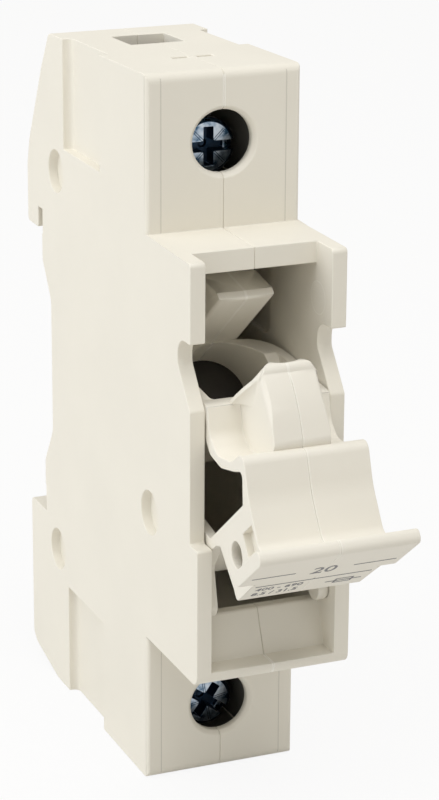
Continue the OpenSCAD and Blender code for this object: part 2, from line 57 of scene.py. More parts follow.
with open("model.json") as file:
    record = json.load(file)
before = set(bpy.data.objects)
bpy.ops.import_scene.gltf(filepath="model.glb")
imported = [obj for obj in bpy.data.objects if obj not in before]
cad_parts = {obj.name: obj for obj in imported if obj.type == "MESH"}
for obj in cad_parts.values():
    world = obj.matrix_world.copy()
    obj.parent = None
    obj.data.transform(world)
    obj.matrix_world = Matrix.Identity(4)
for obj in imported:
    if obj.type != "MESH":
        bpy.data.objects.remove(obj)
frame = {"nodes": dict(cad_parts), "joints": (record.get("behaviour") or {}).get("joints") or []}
NODES = frame["nodes"]
CAD_LOW, CAD_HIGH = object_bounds()
JOINTS = {joint["name"]: joint for joint in frame["joints"]}
HINGE = JOINTS["carrier_hinge"]
COIL = JOINTS["latch_slide"]["deforming_nodes"][0]
MM = 0.001

# Places and lengths of the housing, in millimetres
SCREW_TURNS = {"upper_screw": 0, "lower_screw": 35}  # degrees at which the cross stands
SCREW_HEIGHTS = {node: JOINTS[node + "_turn"]["pos_m"][2] / MM for node in SCREW_TURNS}
PARTING_PLACE, PARTING_HALF = 7.05, 0.05
FRONT_DEPTH, TERMINAL_HEIGHT = -33.05, 22.7
EJECTOR_DEPTH, EJECTOR_HEIGHT, EJECTOR_RADIUS = -41.92, 16.6, 1.75
EJECTOR_HALF, EJECTOR_WALL, EJECTOR_REACH = 0.07, 7.0, 0.15
# Reach of the painted shade that darkens the terminal chambers behind the screw heads
CHAMBER_RADIUS, CHAMBER_FRONT, CHAMBER_BACK = 6.0, -31.5, -14.0
FLASH_HALF, FLASH_HEIGHT, BROW_DEPTH = 0.16, 34, -45
COIL_FOOT = COIL["fixed_end_z_m"] / MM

# The carrier's, in millimetres on the shut carrier, which rests swung open about its pivot
PIVOT = Vector([place / MM for place in HINGE["pos_m"]])
SWING = Matrix.Rotation(math.radians(-HINGE["range_deg"][0]), 4, "X")
CARRIER_FLASH_HALF = 0.15
HUMP_SIDE, LIP_SIDE = 3.16, 7.5
CLEAR_FRONT, CLEAR_BACK = (-27.9, -0.15), (-25, -3.05)  # depth, height of the wedge's lower face
CLEAR_TOP = 9
NOSE_SIDE, NOSE_BACK, NOSE_FOOT, NOSE_BOTTOM = 3.6, -25.5, -0.1, -7.6
NOSE_ARC = [(2.4, -26.4), (1.95, -26.1), (1.5, -25.95), (1.1, -25.88)]
NOSE_CORNER = [(NOSE_SIDE, -27.6), (3.13, -27.6), (3.0, -27.2), (2.75, -26.8), *NOSE_ARC]
NOSE_UNDER = [(NOSE_SIDE, -26.72), (2.7, -26.72), *NOSE_ARC]
NOSE_OVERLAP = 0.05
SPARED_DEPTH, SPARED_HEIGHT = -28.0, -3.2
WEB_DEPTH = 0.4
WEB_EDGE = [(4.15, -27.75, -0.7), (4.12, -27.75, 1.2), (3.95, -27.75, 3.2), (3.4, -27.6, 4.9),
            (2.75, -27.2, 6.0)]
WEB_HOLLOW = [(3.6, -28.0, 0.6), (3.5, -28.0, 2.2), (3.35, -27.95, 3.8), (3.05, -27.75, 5.1),
              (2.7, -27.3, 6.1)]
WEB_FOOT = [(3.1, -29.3, 2.3), (3.1, -28.9, 3.2), (3.05, -28.5, 4.2), (2.95, -28.0, 5.2),
            (2.65, -27.4, 6.2)]

# Print on the label plate, in millimetres: lines as x, z to x, z; numbers as x, z, size
PLATE_FACE = -47.12
PRINT_RISE, BAR_THICK, BAR_WIDE = 0.012, 0.02, 0.2
STROKE_SWELL, DIGIT_HALF = 0.012, 0.01
RULES = [(-7.9, 2.7, -3.2, 2.7), (3.2, 2.7, 7.9, 2.7), (-6.4, -0.5, 6.4, -0.5)]
FUSE_SYMBOL = [(2.0, -2.6, 6.0, -2.6), (3.0, -3.2, 5.0, -3.2), (3.0, -2.0, 5.0, -2.0),
               (3.07, -3.2, 3.07, -2.0), (4.93, -3.2, 4.93, -2.0)]
NUMBERS = {"20": (0, 2.5, 2.8), "400 - 690": (-3.4, -1.7, 1.35), "8.5 / 31.5": (-3.4, -3.3, 1.35)}

# Rounding and shading of the dressed copies, in metres
WELD = 0.000002
SCREW_ROUND = 0.00005
EDGE_ROOM = 2.5  # roundings that an edge needs beside it to be rounded in full
SIDEWAYS = 0.8  # cosine below which another edge runs off sideways
FLAT_ANGLE = math.radians(0.6)
SHARP_ANGLE = math.radians(32)
SMOOTH_ANGLE = math.radians(50)
WEB_SMOOTH_ANGLE = math.radians(40)

# Finishes: heights of relief in metres, marks on the screws' heads in millimetres, tints, among
# them painted shade and a painted highlight
GRAIN_HEIGHT, ROLLED_HEIGHT, PLATED_HEIGHT = 0.000006, 0.000004, 0.00001
CROSS_HALF, CROSS_REACH, RIM_RADIUS = 0.58, 2.13, 2.62
RAY_PLACE, RAY_HALF, RAY_REACH = 0.16, 0.05, 2.5
FLASH_TINT = (1, 0.98, 0.92, 1)
# painted highlight: a lighter tint on the ejector rings, for the light their edges catch
EJECTOR_PAINTED_HIGHLIGHT = (1, 0.98, 0.9, 1)
PARTING_TINT = (0.3, 0.28, 0.24, 1)
# painted shade: near-black for the terminal chambers, where they lie in shadow
CHAMBER_PAINTED_SHADE = (0.03, 0.032, 0.035, 1)
# painted shade: dark blue-black in the screws' cross recess, along its rays and down the head's
# sides
RECESS_PAINTED_SHADE = (0.012, 0.04, 0.085, 1)

# Stage, in metres
FLOOR_SIDE = 4
KEY_SPOT, TOP_SPOT, LAMP_SIDE = (-0.62, 0.07, 0.26), (-0.05, -0.2, 0.6), 0.5
KEY_COLOUR = (0.93, 0.96, 1)
WORLD_COLOUR = (1, 0.98, 0.935, 1)
WHITE = (1, 1, 1, 1)
FLOOR_GLOW = 0.9


# Settings


class PlasticSettings(bpy.types.PropertyGroup):
    """Colours and grain of the moulded plastics."""

    housing_colour: bpy.props.FloatVectorProperty(
        name="Housing colour", description="Pale grey of the housing halves",
        default=(0.835, 0.80, 0.71), subtype="COLOR", min=0, max=1)
    carrier_colour: bpy.props.FloatVectorProperty(
        name="Carrier colour", description="Slightly warmer grey of the fuse carrier",
        default=(0.83, 0.795, 0.71), subtype="COLOR", min=0, max=1)
    latch_colour: bpy.props.FloatVectorProperty(
        name="Latch colour", description="White of the rail latch",
        default=(0.83, 0.82, 0.78), subtype="COLOR", min=0, max=1)
    roughness: bpy.props.FloatProperty(
        name="Roughness", description="Roughness of the spark-eroded surface",
        default=0.52, min=0, max=1, subtype="FACTOR")
    grain: bpy.props.FloatProperty(
        name="Grain", description="Size of one grain of the surface texture",
        default=0.00022, min=0.00005, max=0.002, unit="LENGTH")
    edge_round: bpy.props.FloatProperty(
        name="Edge rounding", description="Radius of the small rounding on moulded edges",
        default=0.00011, min=0, max=0.0005, unit="LENGTH")


class MetalSettings(bpy.types.PropertyGroup):
    """Colours of the metal pieces."""

    screw_colour: bpy.props.FloatVectorProperty(
        name="Screw colour", description="Blue zinc plating of the terminal screws",
        default=(0.36, 0.44, 0.53), subtype="COLOR", min=0, max=1)
    clamp_colour: bpy.props.FloatVectorProperty(
        name="Clamp colour", description="Zinc plating of the box clamps",
        default=(0.62, 0.63, 0.64), subtype="COLOR", min=0, max=1)
    brass_colour: bpy.props.FloatVectorProperty(
        name="Brass colour", description="Stamped brass of the contacts",
        default=(0.72, 0.52, 0.24), subtype="COLOR", min=0, max=1)
    # Painted shade: the contact deep in the fuse well is given a dark colour for the shadow it lies
    # in
    well_shade_colour: bpy.props.FloatVectorProperty(
        name="Well shade colour", description="Painted shade on the contact in the fuse well",
        default=(0.07, 0.065, 0.06), subtype="COLOR", min=0, max=1)
    copper_colour: bpy.props.FloatVectorProperty(
        name="Copper colour", description="Stamped copper of the busbars",
        default=(0.72, 0.4, 0.24), subtype="COLOR", min=0, max=1)
    steel_colour: bpy.props.FloatVectorProperty(
        name="Spring steel colour", description="Bare spring steel",
        default=(0.55, 0.56, 0.57), subtype="COLOR", min=0, max=1)


class StageSettings(bpy.types.PropertyGroup):
    """Camera and lights."""

    azimuth: bpy.props.FloatProperty(
        name="Azimuth", description="Camera's turn to the left of the front",
        default=math.radians(-22.60), subtype="ANGLE")
    elevation: bpy.props.FloatProperty(
        name="Elevation", description="Camera's height above the horizon",
        default=math.radians(17.47), subtype="ANGLE")
    roll: bpy.props.FloatProperty(
        name="Roll", description="Camera's turn about its own axis",
        default=math.radians(0.265), subtype="ANGLE")
    distance: bpy.props.FloatProperty(
        name="Distance", description="From the camera to the plane through the origin",
        default=0.31932, unit="LENGTH")
    aside: bpy.props.FloatProperty(
        name="Aside", description="How far the camera stands to the right of the origin",
        default=0.01133, unit="LENGTH")
    above: bpy.props.FloatProperty(
        name="Above", description="How far the camera stands above the origin's line of sight",
        default=-0.00182, unit="LENGTH")
    focal_pixels: bpy.props.FloatProperty(
        name="Focal length in pixels", description="Focal length of the photograph's camera",
        default=2702.2, min=100)
    centre_x: bpy.props.FloatProperty(
        name="Optical centre across", description="Optical centre's column in the photograph",
        default=209.31)
    centre_y: bpy.props.FloatProperty(
        name="Optical centre down", description="Optical centre's row in the photograph",
        default=362.57)
    image_width: bpy.props.FloatProperty(
        name="Image width", description="Columns in the photograph", default=439)
    image_height: bpy.props.FloatProperty(
        name="Image height", description="Rows in the photograph", default=800)
    key_watts: bpy.props.FloatProperty(
        name="Key light", description="Power of the large soft light on the left",
        default=1.85, min=0, unit="POWER")
    top_watts: bpy.props.FloatProperty(
        name="Top light", description="Power of the soft light overhead",
        default=2.0, min=0, unit="POWER")
    world_level: bpy.props.FloatProperty(
        name="World level", description="Strength of the even light from all round",
        default=0.555, min=0)
    floor_colour: bpy.props.FloatVectorProperty(
        name="Floor colour", description="White of the floor",
        default=(0.73, 0.72, 0.7), subtype="COLOR", min=0, max=1)


# Shader maths


class Wire:
    """One output of a node, which takes part in Python expressions."""

    def __init__(self, finish, socket):
        self.finish = finish
        self.socket = socket

    def math(self, operation, *others):
        inputs = dict(enumerate((self, *others)))
        return self.finish.node("ShaderNodeMath", inputs, operation=operation)

    def __add__(self, other):
        return self.math("ADD", other)

    def __radd__(self, other):
        return self.math("ADD", other)

    def __sub__(self, other):
        return self.math("SUBTRACT", other)

    def __rsub__(self, other):
        return self.finish.node("ShaderNodeMath", {0: other, 1: self}, operation="SUBTRACT")

    def __mul__(self, other):
        return self.math("MULTIPLY", other)

    def __rmul__(self, other):
        return self.math("MULTIPLY", other)

    def __lt__(self, other):
        return self.math("LESS_THAN", other)

    def __gt__(self, other):
        return self.math("GREATER_THAN", other)

    def __abs__(self):
        return self.math("ABSOLUTE")


class Finish:
    """A material that is built up from nodes."""

    def __init__(self, name, colour, roughness, metallic=0.0):
        self.material = bpy.data.materials.new(name)
        self.material.use_nodes = True
        self.tree = self.material.node_tree
        self.shader = next(n for n in self.tree.nodes if n.type == "BSDF_PRINCIPLED")
        self.set(**{"Base Color": (*colour, 1), "Roughness": roughness, "Metallic": metallic})

    def node(self, kind, inputs=None, output=0, **settings):
        """Adds a node, with its settings first and then its inputs, and gives one output."""
        made = self.tree.nodes.new(kind)
        for name, value in settings.items():
            setattr(made, name, value)
        self.fill(made, inputs or {})
        return Wire(self, made.outputs[output])

    def ramp(self, factor, stops):
        """A colour that follows the factor through stops of a place and a colour."""
        made = self.tree.nodes.new("ShaderNodeValToRGB")
        while len(made.color_ramp.elements) < len(stops):
            made.color_ramp.elements.new(0.5)
        for element, (place, colour) in zip(made.color_ramp.elements, stops):
            element.position = place
            element.color = (*colour, 1)
        self.fill(made, {0: factor})
        return Wire(self, made.outputs[0])

    def fill(self, node, inputs):
        for name, value in inputs.items():
            if isinstance(value, Wire):
                self.tree.links.new(value.socket, node.inputs[name])
            else:
                node.inputs[name].default_value = value

    def set(self, **inputs):
        self.fill(self.shader, inputs)

    def place(self, turn=(0, 0, 0), centre=(0, 0, 0)):
        """Object coordinates about a centre, turned back about it."""
        raw = self.node("ShaderNodeTexCoord", output=3)
        return self.node("ShaderNodeMapping", {0: raw, "Location": centre, "Rotation": turn},
                         vector_type="TEXTURE")

    def axes(self, vector):
        """The three numbers of a vector."""
        parts = self.tree.nodes.new("ShaderNodeSeparateXYZ")
        self.fill(parts, {0: vector})
        return [Wire(self, out) for out in parts.outputs]

    def noise(self, vector, size, detail=2.0):
        """Cloudy values from 0 to 1, in patches of a size in metres."""
        return self.node("ShaderNodeTexNoise",
                         {"Vector": vector, "Scale": 1 / size, "Detail": detail})

    def blend(self, factor, first, second):
        """The first colour where the factor is 0 and the second where it is 1."""
        return self.node("ShaderNodeMix", {0: factor, 6: first, 7: second}, output=2,
                         data_type="RGBA")

    def bump(self, height, depth):
        """A normal that shows a height, where 1 is a depth in metres."""
        return self.node("ShaderNodeBump", {"Height": height, "Distance": depth, "Strength": 1.0})


def shade(colour, amount):
    """The colour made darker or lighter by an amount."""
    return tuple(min(1.0, part * amount) for part in colour)


def moulded_plastic(name, colour):
    """Fine spark-eroded plastic with faint flow clouds and a slightly uneven gloss."""
    look = bpy.context.scene.disconnector_plastic
    finish = Finish(name, colour, look.roughness)
    place = finish.place()
    clouds = finish.noise(place, size=0.012, detail=3)
    tint = finish.ramp(clouds, [(0.35, shade(colour, 0.985)), (0.7, shade(colour, 1.012))])
    grain = finish.noise(place, size=look.grain)
    speck = finish.noise(place, size=0.0006, detail=1)
    finish.set(**{
        "Base Color": tint,
        "Roughness": look.roughness - 0.05 + 0.1 * speck,
        "Normal": finish.bump(grain, GRAIN_HEIGHT),
        "Specular IOR Level": 0.42,
    })
    return finish, tint, grain


def housing_plastic(name, colour):
    """The housing's plastic, with parting lines, ejector rings tinted lighter as a painted
    highlight, seam flash, and painted shade in the terminal chambers.
    """
    finish, tint, grain = moulded_plastic(name, colour)
    across, depth, height = finish.axes(finish.place())
    front = depth < FRONT_DEPTH * MM

    parting = abs(abs(across) - PARTING_PLACE * MM) < PARTING_HALF * MM
    line = parting * front * (abs(height) > TERMINAL_HEIGHT * MM)

    # The ejector rings are raised as a bump, and their lighter tint is a painted highlight
    _, y, z = finish.axes(finish.place(centre=(0, EJECTOR_DEPTH * MM, EJECTOR_HEIGHT * MM)))
    away = (y * y + z * z).math("SQRT")
    ring = abs(away - EJECTOR_RADIUS * MM) < EJECTOR_HALF * MM
    ring = ring * (abs(abs(across) - EJECTOR_WALL * MM) < EJECTOR_REACH * MM)

    # Painted shade: the terminal chambers behind the screw heads are darkened nearly to black, for
    # the shadow inside them
    chamber_shades = []
    for level in SCREW_HEIGHTS.values():
        x, y, z = finish.axes(finish.place(centre=(0, 0, level * MM)))
        bore = x * x + z * z < (CHAMBER_RADIUS * MM) ** 2
        chamber_shades.append(bore * (y > CHAMBER_FRONT * MM) * (y < CHAMBER_BACK * MM))

    flash = abs(across) < FLASH_HALF * MM
    flash = flash * front * ((height > FLASH_HEIGHT * MM) + (depth < BROW_DEPTH * MM))

    tint = finish.blend((chamber_shades[0] + chamber_shades[1]) * 0.8, tint, CHAMBER_PAINTED_SHADE)
    tint = finish.blend(line * 0.32, tint, PARTING_TINT)
    tint = finish.blend(ring * 0.4, tint, EJECTOR_PAINTED_HIGHLIGHT)
    tint = finish.blend(flash * 0.7, tint, FLASH_TINT)
    relief = grain - line * 2.5 + ring * 3.0 + flash * 3.0
    finish.set(**{"Base Color": tint, "Normal": finish.bump(relief, GRAIN_HEIGHT)})
    return finish


def carrier_plastic(name, colour):
    """The carrier's plastic, with the pale flash of the seam between its halves."""
    finish, tint, grain = moulded_plastic(name, colour)
    across = finish.axes(finish.place())[0]
    flash = abs(across) < CARRIER_FLASH_HALF * MM
    finish.set(**{
        "Base Color": finish.blend(flash * 0.35, tint, FLASH_TINT),
        "Normal": finish.bump(grain + flash * 1.5, GRAIN_HEIGHT),
    })
    return finish


def stamped_metal(name, colour, roughness, brush=(1, 1, 1)):
    """Stamped sheet with faint rolling marks and darker patches."""
    finish = Finish(name, colour, roughness, metallic=1.0)
    place = finish.node("ShaderNodeVectorMath", {0: finish.place(), 1: brush}, operation="MULTIPLY")
    marks = finish.noise(place, size=0.0004, detail=3)
    patches = finish.noise(finish.place(), size=0.003, detail=3)
    finish.set(**{
        "Base Color": finish.ramp(patches, [(0.3, shade(colour, 0.8)), (0.65, colour)]),
        "Roughness": roughness - 0.08 + 0.18 * marks,
        "Normal": finish.bump(marks, ROLLED_HEIGHT),
    })
    return finish


def plated_screw(name, colour, height, turn):
    """Zinc plating, pale on the struck face, with painted shade in the cross, its rays and down the
    sides.
    """
    finish = Finish(name, colour, 0.22, metallic=1.0)
    around = finish.place(turn=(0, math.radians(turn), 0), centre=(0, 0, height * MM))
    across, _, up = finish.axes(around)
    away = (across * across + up * up).math("SQRT")
    near = abs(across).math("MINIMUM", abs(up))
    recess = (near < CROSS_HALF * MM) * (away < CROSS_REACH * MM)
    diagonal = abs(abs(across) - abs(up))
    rays = (abs(diagonal - RAY_PLACE * MM) < RAY_HALF * MM) * (away < RAY_REACH * MM)
    rim = away > RIM_RADIUS * MM
    patches = finish.noise(around, size=0.0011, detail=3)
    dull, bright = (0.05, 0.11, 0.18), (0.60, 0.66, 0.72)
    plating = finish.ramp(patches, [(0.34, dull), (0.46, colour), (0.6, bright)])
    # Painted shade in the cross recess, along its rays and on the head's rim
    shadow = recess.math("MAXIMUM", rim.math("MAXIMUM", rays))
    finish.set(**{
        "Base Color": finish.blend(shadow * 0.93, plating, RECESS_PAINTED_SHADE),
        "Roughness": 0.2 + 0.2 * patches + 0.15 * recess,
        "Normal": finish.bump(finish.noise(around, size=0.00025) - rays, PLATED_HEIGHT),
    })
    return finish


def sign_ink(name):
    """Thin grey print."""
    finish = Finish(name, (0.2, 0.2, 0.21), 0.6)
    worn = finish.noise(finish.place(), size=0.0004)
    tint = finish.ramp(worn, [(0.3, (0.16, 0.16, 0.17)), (0.8, (0.26, 0.26, 0.27))])
    finish.set(**{"Base Color": tint})
    return finish


# Modelling


def select_only(thing):
    bpy.ops.object.select_all(action="DESELECT")
    thing.select_set(True)
    bpy.context.view_layer.objects.active = thing


def settle(thing, name, finish, body):
    """Names a finished piece, gives it its finish and lets it ride on its body."""
    select_only(thing)
    bpy.ops.object.transform_apply(location=True, rotation=True, scale=True)
    thing.name = name
    thing.data.name = name
    thing.data.materials.clear()
    thing.data.materials.append(finish.material)
    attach(thing, body)
    return thing


def swung(x, y, z):
    """Place at rest, in metres, of a point of the shut carrier in millimetres."""
    return (SWING @ (Vector((x, y, z)) - PIVOT) + PIVOT) * MM


def close_form(form, step=None):
    """Draws a whole sheet out by a step, where one is given, and turns all faces outwards."""
    select_only(form)
    bpy.ops.object.mode_set(mode="EDIT")
    bpy.ops.mesh.select_all(action="SELECT")
    if step is not None:
        bpy.ops.mesh.extrude_region_move(TRANSFORM_OT_translate={"value": step})
        bpy.ops.mesh.select_all(action="SELECT")
    bpy.ops.mesh.normals_make_consistent(inside=False)
    bpy.ops.object.mode_set(mode="OBJECT")


def prism(outline, low, high):
    """An upright prism on the shut carrier, from an outline of x and y, at its place at rest."""
    bpy.ops.object.select_all(action="DESELECT")
    bpy.ops.mesh.primitive_circle_add(vertices=len(outline), fill_type="NGON")
    form = bpy.context.active_object
    for point, (x, y) in zip(form.data.vertices, outline):
        point.co = swung(x, y, low)
    close_form(form, swung(0, 0, high) - swung(0, 0, low))
    return form


def wedge(side):
    """A wedge over the lip beside the hump, whose lower face slopes down to the back."""
    bpy.ops.object.select_all(action="DESELECT")
    bpy.ops.mesh.primitive_cube_add(size=2)
    form = bpy.context.active_object
    for point in form.data.vertices:
        x = HUMP_SIDE if point.co.x < 0 else LIP_SIDE
        y, low = CLEAR_BACK if point.co.y > 0 else CLEAR_FRONT
        point.co = swung(side * x, y, CLEAR_TOP if point.co.z > 0 else low)
    close_form(form)
    return form


def cut(thing, form):
    """Takes a form out of a piece."""
    select_only(thing)
    away = thing.modifiers.new("Cut", "BOOLEAN")
    away.object = form
    away.solver = "EXACT"
    bpy.ops.object.modifier_apply(modifier=away.name)
    bpy.data.objects.remove(form)


def behind(corner):
    """The outline of what lies behind the hump's end, from one corner that is mirrored."""
    mirrored = [(-x, y) for x, y in reversed(corner)]
    return [*corner, *mirrored, (-NOSE_SIDE, NOSE_BACK), (NOSE_SIDE, NOSE_BACK)]


def round_nose(copy):
    """Clears the lip beside the hump and rounds the hump's end, seen from above."""
    for side in (-1, 1):
        cut(copy, wedge(side))
    cut(copy, prism(behind(NOSE_CORNER), NOSE_FOOT, CLEAR_TOP))
    cut(copy, prism(behind(NOSE_UNDER), NOSE_BOTTOM, NOSE_FOOT + NOSE_OVERLAP))


def along(stops, place):
    """Point on a line through evenly spaced stops, at a place from 0 to 1."""
    step = min(int(place * (len(stops) - 1)), len(stops) - 2)
    return stops[step].lerp(stops[step + 1], place * (len(stops) - 1) - step)


def hump_web(name, side, finish):
    """A hollow-faced web on one side of the hump, from its outer edge to its foot on the hump."""
    bpy.ops.object.select_all(action="DESELECT")
    bpy.ops.mesh.primitive_grid_add(x_subdivisions=10, y_subdivisions=12, size=1)
    web = bpy.context.active_object
    lines = [[Vector(stop) for stop in stops] for stops in (WEB_EDGE, WEB_HOLLOW, WEB_FOOT)]
    for point in web.data.vertices:
        u, v = point.co.x + 0.5, point.co.y + 0.5
        edge, hollow, foot = [along(line, v) for line in lines]
        spot = edge.lerp(hollow, u).lerp(hollow.lerp(foot, u), u)
        point.co = swung(side * spot.x, spot.y, spot.z)
    close_form(web, swung(0, WEB_DEPTH, 0) - swung(0, 0, 0))
    bpy.ops.object.shade_smooth_by_angle(angle=WEB_SMOOTH_ANGLE)
    return settle(web, name, finish, "carrier")


def print_bar(x0, z0, x1, z1):
    """A thin printed line on the label plate."""
    bpy.ops.object.select_all(action="DESELECT")
    bpy.ops.mesh.primitive_cube_add(size=1)
    bar = bpy.context.active_object
    start, end = Vector((x0, PLATE_FACE, z0)), Vector((x1, PLATE_FACE, z1))
    run = end - start
    across = Vector((-run.z, 0, run.x)).normalized() * BAR_WIDE
    for point in bar.data.vertices:
        spot = start.lerp(end, point.co.x + 0.5) + across * point.co.z
        point.co = swung(spot.x, spot.y - PRINT_RISE + BAR_THICK * point.co.y, spot.z)
    return bar


def print_digits(text, x, z, size):
    """Printed numbers on the label plate, about a middle."""
    bpy.ops.object.select_all(action="DESELECT")
    bpy.ops.object.text_add()
    digits = bpy.context.active_object
    digits.data.body = text
    digits.data.align_x = "CENTER"
    digits.data.align_y = "CENTER"
    digits.data.size = size
    digits.data.offset = STROKE_SWELL
    digits.data.extrude = DIGIT_HALF
    digits.data.resolution_u = 4
    bpy.ops.object.convert(target="MESH")
    for point in digits.data.vertices:
        flat = point.co.copy()
        point.co = swung(x + flat.x, PLATE_FACE - PRINT_RISE - flat.z, z + flat.y)
    return digits


def is_spared(point):
    """Whether a point at rest, in metres, lies where round_nose cuts, too finely to be rounded."""
    shut = SWING.inverted() @ (point / MM - PIVOT) + PIVOT
    return shut.y > SPARED_DEPTH and shut.z > SPARED_HEIGHT


def weigh_edges(copy, rounding, spare_nose):
    """Marks the sharp edges for rounding, less where the faces beside them are narrow."""
    shape = bmesh.new()
    shape.from_mesh(copy.data)
    weight = shape.edges.layers.float.new("bevel_weight_edge")
    most = EDGE_ROOM * rounding
    for edge in shape.edges:
        if len(edge.link_faces) != 2 or edge.calc_face_angle() < SHARP_ANGLE:
            continue
        if spare_nose and all(is_spared(corner.co) for corner in edge.verts):
            continue
        run = (edge.verts[1].co - edge.verts[0].co).normalized()
        room = most
        for corner in edge.verts:
            for other in corner.link_edges:
                line = other.verts[1].co - other.verts[0].co
                if other is not edge and abs(line.normalized().dot(run)) < SIDEWAYS:
                    room = min(room, line.length)
        edge[weight] = room / most
    shape.to_mesh(copy.data)
    shape.free()


def round_edges(copy, source, rounding, spare_nose):
    """Rounds the sharp edges and holds what overshoots at their corners inside the source's box."""
    corners = [Vector(corner) for corner in source.bound_box]
    low = [min(corner[axis] for corner in corners) for axis in range(3)]
    high = [max(corner[axis] for corner in corners) for axis in range(3)]
    weigh_edges(copy, rounding, spare_nose)
    bevel = copy.modifiers.new("Edges", "BEVEL")
    bevel.width = rounding
    bevel.segments = 2
    bevel.limit_method = "WEIGHT"
    bevel.use_clamp_overlap = False
    bpy.ops.object.modifier_apply(modifier=bevel.name)
    for point in copy.data.vertices:
        point.co = [max(low[axis], min(high[axis], point.co[axis])) for axis in range(3)]


def dressed_copy(node, finish, body, rounding, reshape=None):
    """A welded copy of a CAD node, reshaped and rounded where asked, which stands for the node."""
    copy = bpy.data.objects.new(node + "_shell", NODES[node].data.copy())
    bpy.context.scene.collection.objects.link(copy)
    select_only(copy)
    bpy.ops.object.mode_set(mode="EDIT")
    bpy.ops.mesh.select_all(action="SELECT")
    bpy.ops.mesh.remove_doubles(threshold=WELD)
    bpy.ops.mesh.dissolve_limited(angle_limit=FLAT_ANGLE)
    bpy.ops.object.mode_set(mode="OBJECT")
    if reshape:
        reshape(copy)
        select_only(copy)
    if rounding:
        round_edges(copy, NODES[node], rounding, bool(reshape))
    bpy.ops.object.shade_smooth_by_angle(angle=SMOOTH_ANGLE)
    even = copy.modifiers.new("Even shading", "WEIGHTED_NORMAL")
    even.keep_sharp = True
    bpy.ops.object.modifier_apply(modifier=even.name)
    settle(copy, node + "_shell", finish, body)
    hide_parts(node)
    return copy


def finish_node(node, finish):
    """Gives a CAD node's own object a better material."""
    for place in NODES[node].material_slots:
        place.material = finish.material


# Operators


class DISCONNECTOR_OT_housing(bpy.types.Operator):
    """Dress both housing halves in moulded plastic"""

    bl_idname = "disconnector.housing"
    bl_label = "Housing halves"

    def execute(self, context):
        look = context.scene.disconnector_plastic
        finish = housing_plastic("housing_plastic", look.housing_colour)
        for node in ("housing_left", "housing_right"):
            dressed_copy(node, finish, "housing", look.edge_round)
        finish_node("joining_pins", finish)
        return {"FINISHED"}


class DISCONNECTOR_OT_carrier(bpy.types.Operator):
    """Dress both carrier halves in moulded plastic"""

    bl_idname = "disconnector.carrier"
    bl_label = "Carrier halves"

    def execute(self, context):
        look = context.scene.disconnector_plastic
        finish = carrier_plastic("carrier_plastic", look.carrier_colour)
        for node in ("carrier_left", "carrier_right"):
            dressed_copy(node, finish, "carrier", look.edge_round, round_nose)
        finish_node("carrier_pins", finish)
        for name, side in (("right", 1), ("left", -1)):
            hump_web("hump_fin_" + name, side, finish)
        return {"FINISHED"}


class DISCONNECTOR_OT_print(bpy.types.Operator):
    """Print thin lines, plain numbers and the general fuse symbol on the label plate"""

    bl_idname = "disconnector.print"
    bl_label = "Label print"

    def execute(self, context):
        marks = [print_bar(*bar) for bar in RULES + FUSE_SYMBOL]
        marks += [print_digits(text, *place) for text, place in NUMBERS.items()]
        for mark in marks:
            mark.select_set(True)
        bpy.context.view_layer.objects.active = marks[0]
        bpy.ops.object.join()
        settle(marks[0], "label_print", sign_ink("label_ink"), "carrier")
        return {"FINISHED"}


class DISCONNECTOR_OT_contacts(bpy.types.Operator):
    """Give the contacts, busbars, rivets and springs their metal finishes"""

    bl_idname = "disconnector.contacts"
    bl_label = "Contacts and busbars"

    def execute(self, context):
        look = context.scene.disconnector_metal
        brass = stamped_metal("contact_brass", look.brass_colour, 0.34, (1, 1, 0.1))
        copper = stamped_metal("busbar_copper", look.copper_colour, 0.38, (1, 1, 0.1))
        steel = stamped_metal("spring_steel", look.steel_colour, 0.3)
        # Painted shade: the contact in the fuse well is made dark for the shadow inside the well
        finish_node("carrier_contact", stamped_metal("shaded_contact_brass", look.well_shade_colour, 0.45))
        for node in ("upper_jaw", "upper_jaw_rivet", "lower_jaw", "lower_jaw_rivet"):
            finish_node(node, brass)
        for node in ("upper_busbar", "lower_busbar"):
            finish_node(node, copper)
        finish_node("upper_jaw_spring", steel)
        coil = dressed_copy("latch_spring", steel, "housing", 0)
        COIL_FOOT * MM
        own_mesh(coil)
        return {"FINISHED"}


class DISCONNECTOR_OT_terminals(bpy.types.Operator):
    """Finish the terminal screws and box clamps"""

    bl_idname = "disconnector.terminals"
    bl_label = "Terminals"

    def execute(self, context):
        look = context.scene.disconnector_metal
        zinc = stamped_metal("clamp_steel", look.clamp_colour, 0.32)
        for node in ("upper_clamp", "lower_clamp"):
            finish_node(node, zinc)
        for node, turn in SCREW_TURNS.items():
            plating = plated_screw(node + "_plating", look.screw_colour, SCREW_HEIGHTS[node], turn)
            dressed_copy(node, plating, node, SCREW_ROUND)
        return {"FINISHED"}


class DISCONNECTOR_OT_latch(bpy.types.Operator):
    """Dress the rail latch in white plastic"""

    bl_idname = "disconnector.latch"
    bl_label = "Rail latch"

    def execute(self, context):
        look = context.scene.disconnector_plastic
        finish = moulded_plastic("latch_plastic", look.latch_colour)[0]
        dressed_copy("rail_latch", finish, "latch", look.edge_round)
        return {"FINISHED"}


def camera_axes(look):
    """Right, up and back of the camera."""
    azimuth, elevation, roll = look.azimuth, look.elevation, look.roll
    back = Vector((math.sin(azimuth) * math.cos(elevation),
                   -math.cos(azimuth) * math.cos(elevation), math.sin(elevation)))
    level = Vector((0, 0, 1)).cross(back).normalized()
    upright = back.cross(level)
    right = level * math.cos(roll) + upright * math.sin(roll)
    return right, back.cross(right), back


